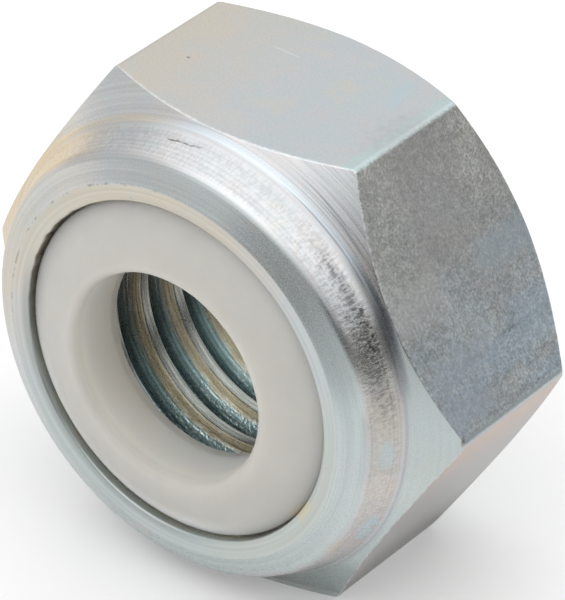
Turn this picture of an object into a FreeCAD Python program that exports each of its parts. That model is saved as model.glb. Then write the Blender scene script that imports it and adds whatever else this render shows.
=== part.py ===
import FreeCAD, Part

import math
import os

import Sketcher
from FreeCAD import Placement, Rotation, Vector

# A sealing nut: a steel hexagon nut for an 8 mm bolt whose collar is rolled over a plastic ring.
# Each piece is drawn about its own Z axis, bearing face at height 0 and collar on top,
# and its placement then lays it on one flat with the collar towards -Y.

# Driving sizes in millimetres, the chamfer's angle and the slope of the ring's face in degrees.
SIZES = {
    # the hexagon, from the bearing face to the face that the collar and the ring stand on
    "AcrossFlats": 13.0,
    "HexHeight": 6.17,
    "HexEdgeRound": 0.2,
    "ChamferAngle": 37.0,
    "BearingFaceInset": 0.6,
    # the tapped hole, left plain at the thread's core diameter
    "ThreadDiameter": 8.0,
    "ThreadPitch": 1.25,
    "CountersinkMargin": 0.3,
    "SeatCountersink": 0.15,
    # the collar: its foot inside the flats, its wall, and the crown and lip that are rolled inwards
    "CollarHeight": 1.38,
    "CollarLedge": 0.2,
    "CollarThickness": 1.0,
    "FootRoundMargin": 0.02,
    "ShoulderInset": 0.4,
    "ShoulderDrop": 0.36,
    "ShoulderRound": 0.5,
    "CrownInset": 0.7,
    "CrownRound": 0.3,
    "LipOverlap": 0.575,
    "LipDrop": 0.05,
    "LipThickness": 0.4,
    "LipRound": 0.08,
    "UndersideDrop": 0.2,
    # the ring: how far its bore stands inside the thread, its domed face and its rim under the lip
    "RingGrip": 1.1,
    "RingProud": 0.39,
    "RingBoreRound": 0.25,
    "RingFaceSlope": 8.0,
    "RingRimDrop": 0.22,
    # the fit of the ring in its seat, and the open gap between its rim and the lip
    "RingClearance": 0.02,
    "LipGap": 0.055,
}

# Radii and heights that follow from the driving sizes, as formulas of the sheet.
# A height is measured from the bearing face.
CORNER_RADIUS = "(Sizes.AcrossFlats / sqrt(3))"
BEARING_FACE_RADIUS = "(Sizes.AcrossFlats / 2 - Sizes.BearingFaceInset)"
CORE_RADIUS = "((Sizes.ThreadDiameter - 5 / 8 * sqrt(3) * Sizes.ThreadPitch) / 2)"
COUNTERSINK_SIZE = f"(Sizes.ThreadDiameter / 2 + Sizes.CountersinkMargin - {CORE_RADIUS})"
FOOT_RADIUS = "(Sizes.AcrossFlats / 2 - Sizes.CollarLedge)"
SHOULDER_RADIUS = f"({FOOT_RADIUS} - Sizes.ShoulderInset)"
CROWN_RADIUS = f"({SHOULDER_RADIUS} - Sizes.CrownInset)"
SEAT_RADIUS = f"({FOOT_RADIUS} - Sizes.CollarThickness)"
LIP_RADIUS = f"({SEAT_RADIUS} - Sizes.LipOverlap)"
SEAT_HEIGHT = "Sizes.HexHeight"
CROWN_HEIGHT = "(Sizes.HexHeight + Sizes.CollarHeight)"
SHOULDER_HEIGHT = f"({CROWN_HEIGHT} - Sizes.ShoulderDrop)"
# The round at the foot ends on the chamfer a margin short of the flats, so that its radius follows
# from the ledge and from the angle between the leaning wall and the chamfer.
WALL_LEAN = f"atan(Sizes.ShoulderInset / ({SHOULDER_HEIGHT} - {SEAT_HEIGHT}))"
FOOT_ANGLE = f"(90 deg + {WALL_LEAN} + Sizes.ChamferAngle * 1 deg)"
FOOT_REACH = "((Sizes.CollarLedge - Sizes.FootRoundMargin) / cos(Sizes.ChamferAngle * 1 deg))"
FOOT_ROUND = f"({FOOT_REACH} * tan({FOOT_ANGLE} / 2))"
LIP_HEIGHT = f"({CROWN_HEIGHT} - Sizes.LipDrop)"
LIP_UNDERSIDE = f"({LIP_HEIGHT} - Sizes.LipThickness)"
SEAT_WALL_TOP = f"({LIP_UNDERSIDE} - Sizes.UndersideDrop)"
RING_BORE_RADIUS = "(Sizes.ThreadDiameter / 2 - Sizes.RingGrip)"
RING_OUTER_RADIUS = f"({SEAT_RADIUS} - Sizes.RingClearance)"
RING_RIM_RADIUS = f"({LIP_RADIUS} - Sizes.LipGap)"
RING_RIM_HEIGHT = f"({LIP_HEIGHT} - Sizes.RingRimDrop)"
RING_FACE_HEIGHT = f"({LIP_HEIGHT} + Sizes.RingProud)"
# The ring's face is one arc. It leaves the round of the bore smoothly, sloping down outwards,
# and steepens to the rim.
FACE_SLOPE = "(Sizes.RingFaceSlope * 1 deg)"
FACE_RADIUS = f"({RING_BORE_RADIUS} + Sizes.RingBoreRound * (1 + sin({FACE_SLOPE})))"
FACE_HEIGHT = f"({RING_FACE_HEIGHT} - Sizes.RingBoreRound * (1 - cos({FACE_SLOPE})))"
FACE_WIDTH = f"({RING_RIM_RADIUS} - {FACE_RADIUS})"
FACE_FALL = f"({FACE_HEIGHT} - {RING_RIM_HEIGHT})"
FACE_STEEPENING = f"(atan({FACE_FALL} / {FACE_WIDTH}) - {FACE_SLOPE})"
RING_DOME_RADIUS = f"(sqrt({FACE_WIDTH}^2 + {FACE_FALL}^2) / (2 * sin({FACE_STEEPENING})))"

# A chamfer's cutting profile reaches this far past the hexagon's corners and off its end face.
CUT_MARGIN = 0.5
# An edge is found by its radius and height to within this much.
EDGE_MATCH = 0.002

doc = FreeCAD.newDocument("SealingNut")


def make_sheet():
    """The spreadsheet of driving sizes: a name, a number and the number's alias on each row."""
    sheet = doc.addObject("Spreadsheet::Sheet", "Sizes")
    for row, (name, value) in enumerate(SIZES.items(), start=1):
        sheet.set(f"A{row}", name)
        sheet.set(f"B{row}", str(value))
        sheet.setAlias(f"B{row}", name)
    doc.recompute()
    return sheet


sizes = make_sheet()


def number(formula):
    """The value of one of the sheet's formulas now."""
    return float(sizes.evalExpression(formula.replace("Sizes.", "")))


def new_body(name):
    """An empty body whose label names its file."""
    body = doc.addObject("PartDesign::Body", name)
    body.Label = name
    return body


def new_sketch(body, name, plane):
    """A sketch on one of the body's own origin planes."""
    sketch = body.newObject("Sketcher::SketchObject", name)
    datum = next(item for item in body.Origin.OriginFeatures if item.Role == plane)
    sketch.AttachmentSupport = [(datum, "")]
    sketch.MapMode = "FlatFace"
    return sketch


def hold(sketch, kind, *where, formula):
    """A constraint whose value follows a formula of the sheet."""
    index = sketch.addConstraint(Sketcher.Constraint(kind, *where, number(formula)))
    sketch.setExpression(f"Constraints[{index}]", formula)


def draw_section(body, name, corners, arcs=None):
    """A closed half section. Each corner is a radius and a height, as formulas of the sheet,
    and a third formula rounds the corner off between two straight sides.
    A side listed in arcs, by the number of its first corner, bulges outwards with that radius."""
    arcs = arcs or {}
    sketch = new_sketch(body, name, "XZ_Plane")
    points = [Vector(number(corner[0]), number(corner[1]), 0) for corner in corners]
    rounds = {place: corner[2] for place, corner in enumerate(corners) if len(corner) > 2}
    touches = {place: round_points(points, place, number(rounds[place])) for place in rounds}
    for side in range(len(points)):
        after = (side + 1) % len(points)
        start = touches[side][2] if side in rounds else points[side]
        end = touches[after][0] if after in rounds else points[after]
        if side in arcs:
            sketch.addGeometry(bulge(start, end, number(arcs[side])))
        else:
            sketch.addGeometry(Part.LineSegment(start, end))
    for place, corner in enumerate(corners):
        before = (place - 1) % len(corners)
        if place in rounds:
            here = round_off(sketch, (before, place), points[place], touches[place], rounds[place])
        else:
            here = (place, end_vertex(sketch, place, points[place]))
            arrival = end_vertex(sketch, before, points[place])
            sketch.addConstraint(Sketcher.Constraint("Coincident", before, arrival, *here))
        hold(sketch, "DistanceX", -1, 1, *here, formula=corner[0])
        hold(sketch, "DistanceY", -1, 1, *here, formula=corner[1])
    for side, radius in arcs.items():
        hold(sketch, "Radius", side, formula=radius)
    return sketch


def round_points(points, place, radius):
    """Start, middle and end of the arc that rounds one corner of a path off."""
    corner = points[place]
    back = (points[place - 1] - corner).normalize()
    ahead = (points[(place + 1) % len(points)] - corner).normalize()
    half_angle = back.getAngle(ahead) / 2
    reach = radius / math.tan(half_angle)
    depth = radius / math.sin(half_angle) - radius
    return corner + back * reach, corner + (back + ahead).normalize() * depth, corner + ahead * reach


def round_off(sketch, sides, corner, touches, formula):
    """Joins two sides by a tangent arc, and keeps a construction point where they would meet."""
    arc = sketch.addGeometry(Part.ArcOfCircle(*touches))
    for side, touch in zip(sides, (touches[0], touches[2])):
        ends = (side, end_vertex(sketch, side, touch), arc, end_vertex(sketch, arc, touch))
        sketch.addConstraint(Sketcher.Constraint("Tangent", *ends))
    hold(sketch, "Radius", arc, formula=formula)
    point = sketch.addGeometry(Part.Point(corner), True)
    for side in sides:
        sketch.addConstraint(Sketcher.Constraint("PointOnObject", point, 1, side))
    return point, 1


def bulge(start, end, radius):
    """The short arc from start to end whose middle stands off the chord on its upper side."""
    chord = end - start
    rise = radius - math.sqrt(radius**2 - (chord.Length / 2) ** 2)
    across = Vector(chord.y, -chord.x, 0).normalize()
    if across.y < 0:
        across = across * -1
    return Part.ArcOfCircle(start, (start + end) / 2 + across * rise, end)


def end_vertex(sketch, side, point):
    """1 if the side of the sketch starts at the point, and 2 if it ends there."""
    return 1 if sketch.getPoint(side, 1).distanceToPoint(point) < EDGE_MATCH else 2


def turn(body, kind, name, sketch):
    """A revolution or groove of a half section, a full turn about the body's Z axis."""
    feature = body.newObject(kind, name)
    feature.Profile = sketch
    feature.ReferenceAxis = (sketch, ["V_Axis"])
    feature.Angle = 360
    doc.recompute()
    return feature


def ring_edges(feature, *places):
    """The names of a feature's circular edges at the given radii and heights."""
    found = []
    for radius, height in places:
        place = (number(radius), number(height))
        for index, edge in enumerate(feature.Shape.Edges, start=1):
            if not isinstance(edge.Curve, Part.Circle):
                continue
            off = (edge.Curve.Radius - place[0], edge.Curve.Center.z - place[1])
            if math.hypot(*off) < EDGE_MATCH:
                found.append(f"Edge{index}")
    if len(found) != len(places):
        raise ValueError(f"{feature.Name} has {len(found)} of the {len(places)} edges at {places}")
    return found


def dress(body, kind, name, base, edges, formula):
    """A fillet or chamfer of the named edges, its size a formula of the sheet."""
    feature = body.newObject(kind, name)
    feature.Base = (base, edges)
    feature.setExpression("Radius" if kind.endswith("Fillet") else "Size", formula)
    doc.recompute()
    return feature


def check_cut(before, after):
    """Stops if a feature that should take material away took none."""
    if after.Shape.Volume >= before.Shape.Volume - 1e-6:
        raise ValueError(f"{after.Name} cuts nothing")


def make_hexagon(body):
    """The hexagonal bar, with the slightly round edges of drawn bar."""
    sketch = new_sketch(body, "HexagonSketch", "XY_Plane")
    reach = number(CORNER_RADIUS)
    turns = [k * math.pi / 3 for k in range(6)]
    corners = [Vector(reach * math.cos(turn_by), reach * math.sin(turn_by), 0) for turn_by in turns]
    circle = sketch.addGeometry(Part.Circle(Vector(0, 0, 0), Vector(0, 0, 1), reach), True)
    sketch.addConstraint(Sketcher.Constraint("Coincident", circle, 3, -1, 1))
    hold(sketch, "Radius", circle, formula=CORNER_RADIUS)
    sides = [sketch.addGeometry(Part.LineSegment(a, b)) for a, b in zip(corners, corners[1:] + corners[:1])]
    for side, after in zip(sides, sides[1:] + sides[:1]):
        sketch.addConstraint(Sketcher.Constraint("Coincident", side, 2, after, 1))
        sketch.addConstraint(Sketcher.Constraint("PointOnObject", side, 2, circle))
    for side in sides[1:]:
        sketch.addConstraint(Sketcher.Constraint("Equal", sides[0], side))
    sketch.addConstraint(Sketcher.Constraint("PointOnObject", sides[0], 1, -1))
    pad = body.newObject("PartDesign::Pad", "Hexagon")
    pad.Profile = sketch
    pad.setExpression("Length", "Sizes.HexHeight")
    doc.recompute()
    upright = [
        f"Edge{index}"
        for index, edge in enumerate(pad.Shape.Edges, start=1)
        if abs(edge.Vertexes[0].Z - edge.Vertexes[-1].Z) > EDGE_MATCH
    ]
    return dress(body, "PartDesign::Fillet", "HexEdges", pad, upright, "Sizes.HexEdgeRound")


def make_bore(body, base):
    """The tapped hole at its core diameter, and the countersink at each end of it."""
    sketch = new_sketch(body, "BoreSketch", "XY_Plane")
    circle = sketch.addGeometry(Part.Circle(Vector(0, 0, 0), Vector(0, 0, 1), number(CORE_RADIUS)))
    sketch.addConstraint(Sketcher.Constraint("Coincident", circle, 3, -1, 1))
    hold(sketch, "Radius", circle, formula=CORE_RADIUS)
    bore = body.newObject("PartDesign::Pocket", "Bore")
    bore.Profile = sketch
    bore.Type = "ThroughAll"
    bore.Reversed = True
    doc.recompute()
    check_cut(base, bore)
    edge = ring_edges(bore, (CORE_RADIUS, "0"))
    lead = dress(body, "PartDesign::Chamfer", "BearingCountersink", bore, edge, COUNTERSINK_SIZE)
    check_cut(bore, lead)
    edge = ring_edges(lead, (CORE_RADIUS, SEAT_HEIGHT))
    seat = dress(body, "PartDesign::Chamfer", "SeatCountersink", lead, edge, "Sizes.SeatCountersink")
    check_cut(lead, seat)
    return seat


def make_chamfer(body, name, base, inner_radius, face_height, back):
    """A turned cone that takes the hexagon's corners off, from a circle on an end face outwards.
    The cutting profile starts a little off the face, on the same slope."""
    slope = "tan(Sizes.ChamferAngle * 1 deg)"
    start_radius = f"{inner_radius} - {CUT_MARGIN} / {slope}"
    outer_radius = f"{CORNER_RADIUS} + {CUT_MARGIN}"
    drop = f"({outer_radius} - {inner_radius}) * {slope}"
    inwards, outwards = ("+", "-") if back else ("-", "+")
    start_height = f"{face_height} {outwards} {CUT_MARGIN}"
    cone_height = f"{face_height} {inwards} {drop}"
    corners = [(start_radius, start_height), (outer_radius, start_height), (outer_radius, cone_height)]
    sketch = draw_section(body, f"{name}Sketch", corners)
    groove = turn(body, "PartDesign::Groove", name, sketch)
    check_cut(base, groove)
    return groove


def make_collar(body):
    """The collar on the hexagon's end face, its wall leaning in and its lip rolled over the seat."""
    foot = (FOOT_RADIUS, SEAT_HEIGHT)
    corners = [
        foot,
        (SHOULDER_RADIUS, SHOULDER_HEIGHT, "Sizes.ShoulderRound"),
        (CROWN_RADIUS, CROWN_HEIGHT, "Sizes.CrownRound"),
        (LIP_RADIUS, LIP_HEIGHT, "Sizes.LipRound"),
        (LIP_RADIUS, LIP_UNDERSIDE, "Sizes.LipRound"),
        (SEAT_RADIUS, SEAT_WALL_TOP),
        (SEAT_RADIUS, SEAT_HEIGHT),
    ]
    sketch = draw_section(body, "CollarSketch", corners)
    collar = turn(body, "PartDesign::Revolution", "Collar", sketch)
    edges = ring_edges(collar, foot)
    return dress(body, "PartDesign::Fillet", "CollarFoot", collar, edges, FOOT_ROUND)


def make_nut_body():
    """The whole nut in steel: hexagon, tapped hole, chamfers and rolled collar."""
    body = new_body("nut_body")
    hexagon = make_hexagon(body)
    bore = make_bore(body, hexagon)
    back = make_chamfer(body, "BearingChamfer", bore, BEARING_FACE_RADIUS, "0", True)
    make_chamfer(body, "CollarChamfer", back, FOOT_RADIUS, SEAT_HEIGHT, False)
    make_collar(body)
    return body


def make_sealing_ring():
    """The plastic ring: flat on the seat, held under the lip, its face domed out through it."""
    body = new_body("sealing_ring")
    corners = [
        (RING_BORE_RADIUS, SEAT_HEIGHT),
        (RING_OUTER_RADIUS, SEAT_HEIGHT),
        (RING_OUTER_RADIUS, f"{SEAT_WALL_TOP} - Sizes.RingClearance"),
        (RING_RIM_RADIUS, f"{LIP_UNDERSIDE} - Sizes.RingClearance"),
        (RING_RIM_RADIUS, RING_RIM_HEIGHT),
        (FACE_RADIUS, FACE_HEIGHT),
        (RING_BORE_RADIUS, f"{RING_FACE_HEIGHT} - Sizes.RingBoreRound"),
    ]
    # the fifth side is the domed face, and the sixth is the round of the bore
    arcs = {4: RING_DOME_RADIUS, 5: "Sizes.RingBoreRound"}
    sketch = draw_section(body, "RingSketch", corners, arcs)
    turn(body, "PartDesign::Revolution", "Ring", sketch)
    return body


def lay_down(body):
    """Lies the piece on one flat, its axis level, and centres the whole nut over the origin."""
    body.Placement = Placement(Vector(0, 0, 0), Rotation(Vector(1, 0, 0), 90))
    body.setExpression("Placement.Base.y", f"{RING_FACE_HEIGHT} / 2")
    body.setExpression("Placement.Base.z", "Sizes.AcrossFlats / 2")


def check_document():
    """Stops if any object failed or a piece has no sound solid."""
    for item in doc.Objects:
        if "Invalid" in item.State or "Error" in item.State:
            raise ValueError(f"{item.Name} failed: {item.State}")
    for body in pieces:
        if body.Shape.isNull() or not body.Shape.isValid() or len(body.Shape.Solids) != 1:
            raise ValueError(f"{body.Label} is not one sound solid")


pieces = [make_nut_body(), make_sealing_ring()]
for piece in pieces:
    lay_down(piece)
doc.recompute()
check_document()

os.makedirs("parts", exist_ok=True)
for piece in pieces:
    piece.Shape.exportStep(f"parts/{piece.Label}.step")
    box = piece.Shape.optimalBoundingBox(True, False)
    spans = [
        f"{axis} {getattr(box, axis + 'Min'):.3f} to {getattr(box, axis + 'Max'):.3f}" for axis in "XYZ"
    ]
    print(f"{piece.Label}: {piece.Shape.Volume:.2f} mm3, {', '.join(spans)}")
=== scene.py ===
# %% [markdown]
# # A sealing nut
#
# The object is a steel nut for an 8 mm bolt. One end of it is a collar that was rolled inwards over a
# ring of white plastic. The steel is zinc-plated, so it is a soft grey with a faint play of colours.
# The exact solids are made elsewhere and come in as a fixed frame. This file gives them their looks:
# a finer surface with rounded edges and a real thread, and materials that follow how each face was made.

# %% Load the frame
import math

import bmesh
import bpy
import numpy as np
from mathutils import Matrix, Vector


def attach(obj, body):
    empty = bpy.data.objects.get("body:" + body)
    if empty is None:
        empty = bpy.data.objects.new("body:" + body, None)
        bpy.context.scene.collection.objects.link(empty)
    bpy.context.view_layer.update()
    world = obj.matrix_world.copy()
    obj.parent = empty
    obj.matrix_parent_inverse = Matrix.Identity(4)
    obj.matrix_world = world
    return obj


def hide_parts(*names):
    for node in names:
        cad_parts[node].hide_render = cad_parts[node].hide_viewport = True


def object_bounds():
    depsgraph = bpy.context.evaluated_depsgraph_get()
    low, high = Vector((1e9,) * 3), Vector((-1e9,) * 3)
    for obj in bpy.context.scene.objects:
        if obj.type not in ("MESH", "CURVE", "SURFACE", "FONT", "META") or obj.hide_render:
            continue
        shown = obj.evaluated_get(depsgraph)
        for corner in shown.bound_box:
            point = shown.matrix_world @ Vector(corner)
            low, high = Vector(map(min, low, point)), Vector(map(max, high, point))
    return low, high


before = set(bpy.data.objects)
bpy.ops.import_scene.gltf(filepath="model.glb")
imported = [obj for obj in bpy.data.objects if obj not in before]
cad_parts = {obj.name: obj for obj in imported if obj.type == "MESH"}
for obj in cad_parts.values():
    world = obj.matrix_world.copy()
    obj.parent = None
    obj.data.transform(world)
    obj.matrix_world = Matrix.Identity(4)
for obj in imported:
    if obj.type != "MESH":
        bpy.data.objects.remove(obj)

cad_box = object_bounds()
cad_mm = [[round(v * 1000, 3) for v in corner] for corner in cad_box]
print("nodes:", sorted(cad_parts), "box in mm:", cad_mm)

# %% [markdown]
# ## The nut's own directions
#
# The nut lies on one of its flats, so its axis is level. It is easier to think of it standing on its
# bearing face: a point then has an angle round the axis, a radius from the axis and a height above the
# bearing face. All shapes below are worked out that way, in millimetres, and laid down at the end.

# %% Sizes of the frame, in millimetres
AXIS_HEIGHT = 6.5
BEARING_FACE_Y = cad_box[1].y * 1000


def lay_down(angle, radius, height):
    """Points of the lying nut, in metres: X is radius times cosine, Z is radius times sine plus the
    height of the axis, and Y runs back from the bearing face as the height grows."""
    parts = (radius * np.cos(angle), BEARING_FACE_Y - height, AXIS_HEIGHT + radius * np.sin(angle))
    return np.stack(np.broadcast_arrays(*parts), axis=-1) / 1000


print("the bearing face is at y =", round(BEARING_FACE_Y, 3), "mm")

# %% [markdown]
# ## One outline for every level: the hexagon
#
# The surface is a grid. One direction of the grid goes round the axis, and the other follows the
# section of the nut. To get clean corners, the columns of the grid are placed where the hexagon needs
# them: close together on its slightly round edges, and evenly across its flats.

# %% The hexagon's columns
APOTHEM = 6.5
HEX_EDGE_ROUND = 0.2
EDGE_STEPS = 8
FLAT_STEPS = 50


def hexagon_columns():
    """Angles and radii of the rounded hexagon. Each edge is an arc whose centre lies on the line to
    the sharp corner, and between two arcs the flat's radius is the apothem over the cosine of the
    angle from the middle of the flat."""
    to_centre = (APOTHEM - HEX_EDGE_ROUND) / math.cos(math.pi / 6)
    swing = np.linspace(-math.pi / 6, math.pi / 6, EDGE_STEPS + 1)
    arc = to_centre + HEX_EDGE_ROUND * np.exp(1j * swing)
    last = np.angle(arc[-1])
    off_middle = np.linspace(last - math.pi / 6, math.pi / 6 - last, FLAT_STEPS + 1)[1:-1]
    flat = APOTHEM / np.cos(off_middle) * np.exp(1j * (off_middle + math.pi / 6))
    side = np.concatenate([arc, flat])
    turned = np.concatenate([side * np.exp(1j * k * math.pi / 3) for k in range(6)])
    return np.angle(turned) % (2 * math.pi), np.abs(turned)


turn, hex_radius = hexagon_columns()
order = np.argsort(turn)
turn, hex_radius = turn[order], hex_radius[order]
COLUMNS = len(turn)
print(COLUMNS, "columns, radius", hex_radius.min().round(3), "to", hex_radius.max().round(3), "mm")

# %% [markdown]
# ## The section, corner by corner
#
# A turner would draw the nut's section as straight lines with small rounds at their meetings. The
# helper below does the same for all columns at once. Where two lines meet, it puts an arc that touches
# both. The corners differ from column to column, because the flats lie nearer to the axis than the edges.


# %% A section with rounded corners
def unit(vectors):
    """The vectors made one unit long."""
    return vectors / np.linalg.norm(vectors, axis=-1, keepdims=True)


def rounded_section(corners, radii, arc_steps, line_steps):
    """Rows of a section. An arc's centre lies on the line that halves its corner, at the radius over
    the sine of half the angle. Its points swing evenly from one touching point to the other, and the
    straight stretch between two corners is divided evenly."""
    count = corners.shape[1]
    starts, ends = [], []
    for i in range(count):
        here = corners[:, i]
        if not arc_steps[i]:
            starts.append(here[:, None])
            ends.append(here)
            continue
        back = unit(corners[:, i - 1] - here)
        ahead = unit(corners[:, (i + 1) % count] - here)
        half = np.arccos(np.clip((back * ahead).sum(1), -1, 1))[:, None] / 2
        radius = np.broadcast_to(radii[i], len(here))[:, None]
        centre = here + unit(back + ahead) * radius / np.sin(half)
        from_centre = here + back * radius / np.tan(half) - centre
        to_end = here + ahead * radius / np.tan(half) - centre
        sweep = (math.pi - 2 * half)[:, None]
        t = np.linspace(0, 1, arc_steps[i] + 1)[None, :, None]
        before, after = np.sin((1 - t) * sweep), np.sin(t * sweep)
        arc = (before * from_centre[:, None] + after * to_end[:, None]) / np.sin(sweep)
        starts.append(centre[:, None] + arc)
        ends.append(starts[-1][:, -1])
    rows, first_rows, done = [], [], 0
    for i in range(count):
        first_rows.append(done)
        rows.append(starts[i])
        done += starts[i].shape[1]
        if i + 1 < count and line_steps[i] > 1:
            t = np.linspace(0, 1, line_steps[i] + 1)[None, 1:-1, None]
            rows.append(ends[i][:, None] * (1 - t) + starts[i + 1][:, :1] * t)
            done += line_steps[i] - 1
    return np.concatenate(rows, axis=1), first_rows


# %% [markdown]
# ## The thread
#
# The hole has an M8 x 1.25 thread, cut with a tap. On its crests a narrow land is left at the core
# diameter, and 60 degree flanks lead down to the roots. A thread is a section that climbs one pitch in
# a turn, so its rows climb along the helix too. That keeps every crest a clean line. At both ends the
# rows are cut off level, and in the countersink the wider of cone and thread is what is left of the steel.

# %% The thread's profile
PITCH = 1.25
MAJOR_RADIUS = 4.0
CORE_RADIUS = MAJOR_RADIUS - 5 / 16 * math.sqrt(3) * PITCH
SEAT_HEIGHT = 6.17
LAND = 0.25
FLANK = 0.3125
THREAD_START = 0.06
COUNTERSINK_RADIUS = 4.3
SEAT_COUNTERSINK = 0.15
LAND_AT_ZERO = 4.523 - 228.5 / 360 * PITCH
FIRST_TURN, LAST_TURN = -4, 1


def thread_radius(angle, height):
    """The wider of thread and countersinks. The share of a pitch since the last land's start gives the
    depth: none on the land, rising evenly on a flank, full at the root, with the corners eased."""
    share = ((height - LAND_AT_ZERO) / PITCH - angle / (2 * math.pi)) % 1.0
    from_land = np.abs((share - LAND / 2 + 0.5) % 1.0 - 0.5) - LAND / 2
    depth = from_land / FLANK
    eased = 0.5 * (np.sqrt(depth**2 + 0.0012) + depth)
    eased = 1 - 0.5 * (np.sqrt((1 - eased) ** 2 + 0.004) + 1 - eased)
    radius = CORE_RADIUS + (MAJOR_RADIUS - CORE_RADIUS) * np.clip(eased, 0, 1)
    radius = np.maximum(radius, COUNTERSINK_RADIUS - height)
    return np.maximum(radius, CORE_RADIUS + SEAT_COUNTERSINK - (SEAT_HEIGHT - height))


ROW_SHARES = np.array([
    0.0, 0.012, 0.03, 0.08, 0.125, 0.17, 0.22, 0.238, 0.25, 0.262, 0.28, 0.33, 0.40, 0.47,
    0.53, 0.55, 0.5625, 0.58, 0.625, 0.67, 0.6875, 0.70, 0.72, 0.78, 0.85, 0.92, 0.97, 0.988,
])
print(len(ROW_SHARES), "rows to a pitch, core radius", round(CORE_RADIUS, 4), "mm")


# %% The thread's grid
def thread_grid():
    """Angle, radius and height of the grid, columns by rows. A row's height is its share of a pitch
    plus the climb of its column. Heights beyond the two ends are cut off before the radius is taken."""
    turns = np.arange(FIRST_TURN, LAST_TURN + 1)
    shares = (turns[:, None] + ROW_SHARES[None]).ravel()
    height = LAND_AT_ZERO + PITCH * (shares[None] + turn[:, None] / (2 * math.pi))
    height = np.clip(height, THREAD_START, SEAT_HEIGHT)
    angle = np.broadcast_to(turn[:, None], height.shape)
    return angle, thread_radius(angle, height), height


def grid_faces(index, following):
    """Four corners a face, between each column of point numbers and the column that follows it."""
    return np.stack([index[:, :-1], following[:, :-1], following[:, 1:], index[:, 1:]], axis=-1)


def helix_faces(height):
    """The thread's faces. The last column joins the first one a whole pitch of rows further up.
    Faces that lie wholly beyond an end have no area and are left out."""
    columns, rows = height.shape
    index = np.arange(columns * rows).reshape(columns, rows)
    shift = len(ROW_SHARES)
    following = np.full_like(index, -1)
    following[:-1] = index[1:]
    following[-1, : rows - shift] = index[0, shift:]
    faces = grid_faces(index, following)
    faces = faces[(faces >= 0).all(axis=-1)]
    levels = height.ravel()[faces]
    return faces[np.ptp(levels, axis=1) > 1e-6]


thread_angle, thread_r, thread_h = thread_grid()
thread_faces = helix_faces(thread_h)
print(len(thread_faces), "faces in the thread")

# %% [markdown]
# ## The outside of the nut
#
# The rest of the section goes from the seat of the plastic ring up its wall, round the rolled lip, over
# the crown and the shoulder, down the leaning wall to the foot, along the chamfer, down the flat, and
# over the second chamfer and the bearing face into the countersink.

# %% The outer section
CHAMFER_SLOPE = math.tan(math.radians(37))
FOOT_RADIUS = 6.3
FACE_RADIUS = 5.9
SEAT_RADIUS = 5.3
SEAT_TOP = 6.9
LIP_RADIUS = 4.725
LIP_UNDERSIDE = 7.1
LIP_TOP = 7.5
CROWN_RADIUS = 5.2
CROWN_HEIGHT = 7.55
SHOULDER_RADIUS = 5.9
SHOULDER_HEIGHT = 7.19


def lip_waver(angle):
    """The rolled edge is not quite true: three slow waves and a few quick ones at the left, in mm."""
    slow = 0.008 * np.sin(3 * angle + 0.7) + 0.005 * np.sin(7 * angle + 2.1)
    left = np.exp(-(((angle - math.radians(155)) / 0.45) ** 2))
    return slow + left * (0.012 * np.sin(41 * angle) + 0.010 * np.sin(67 * angle + 1.3))


def outer_corners():
    """The corners of the section for every column, as radius and height."""
    seat_level = np.full(COLUMNS, SEAT_HEIGHT)
    lip = LIP_RADIUS + lip_waver(turn)
    top = SEAT_HEIGHT - (hex_radius - FOOT_RADIUS) * CHAMFER_SLOPE
    bottom = (hex_radius - FACE_RADIUS) * CHAMFER_SLOPE
    pairs = [
        (thread_radius(turn, seat_level), SEAT_HEIGHT),
        (SEAT_RADIUS, SEAT_HEIGHT),
        (SEAT_RADIUS, SEAT_TOP),
        (lip, LIP_UNDERSIDE),
        (lip, LIP_TOP),
        (CROWN_RADIUS, CROWN_HEIGHT),
        (SHOULDER_RADIUS, SHOULDER_HEIGHT),
        (FOOT_RADIUS, SEAT_HEIGHT),
        (hex_radius, top),
        (hex_radius, bottom),
        (FACE_RADIUS, 0),
        (COUNTERSINK_RADIUS, 0),
        (COUNTERSINK_RADIUS - THREAD_START, THREAD_START),
    ]
    full = [[np.broadcast_to(part, COLUMNS) for part in pair] for pair in pairs]
    return np.array(full, dtype=float).transpose(2, 0, 1).copy()


# the sharper edge round of the flats is as wide as the chamfer leaves room for
edge_round = np.clip((hex_radius - 6.478) * 1.6, 0.03, 0.08)
section_radii = [0, 0, 0, 0.08, 0.08, 0.12, 0.5, 0.76, edge_round, edge_round, 0.1, 0.03, 0]
section_arcs = [0, 0, 0, 5, 6, 8, 9, 9, 5, 5, 5, 3, 0]
section_lines = [3, 2, 3, 2, 2, 3, 3, 3, 6, 4, 5, 1, 1]
section, first_rows = rounded_section(outer_corners(), section_radii, section_arcs, section_lines)
print(section.shape[1], "rows in the outer section")

# %% [markdown]
# ## From arrays to a mesh
#
# Both grids share their border points, so welding makes one closed skin. The shading should be flat on
# the flats and soft only on the rounds. For that, each corner point takes the mean of the faces that
# meet there, weighted by their area, so that a large flat face always wins over a narrow round.


# %% Mesh helpers
def ring_faces(columns, rows):
    """The faces of a grid whose last column joins its first."""
    index = np.arange(columns * rows).reshape(columns, rows)
    return grid_faces(index, np.roll(index, -1, axis=0))


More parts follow.
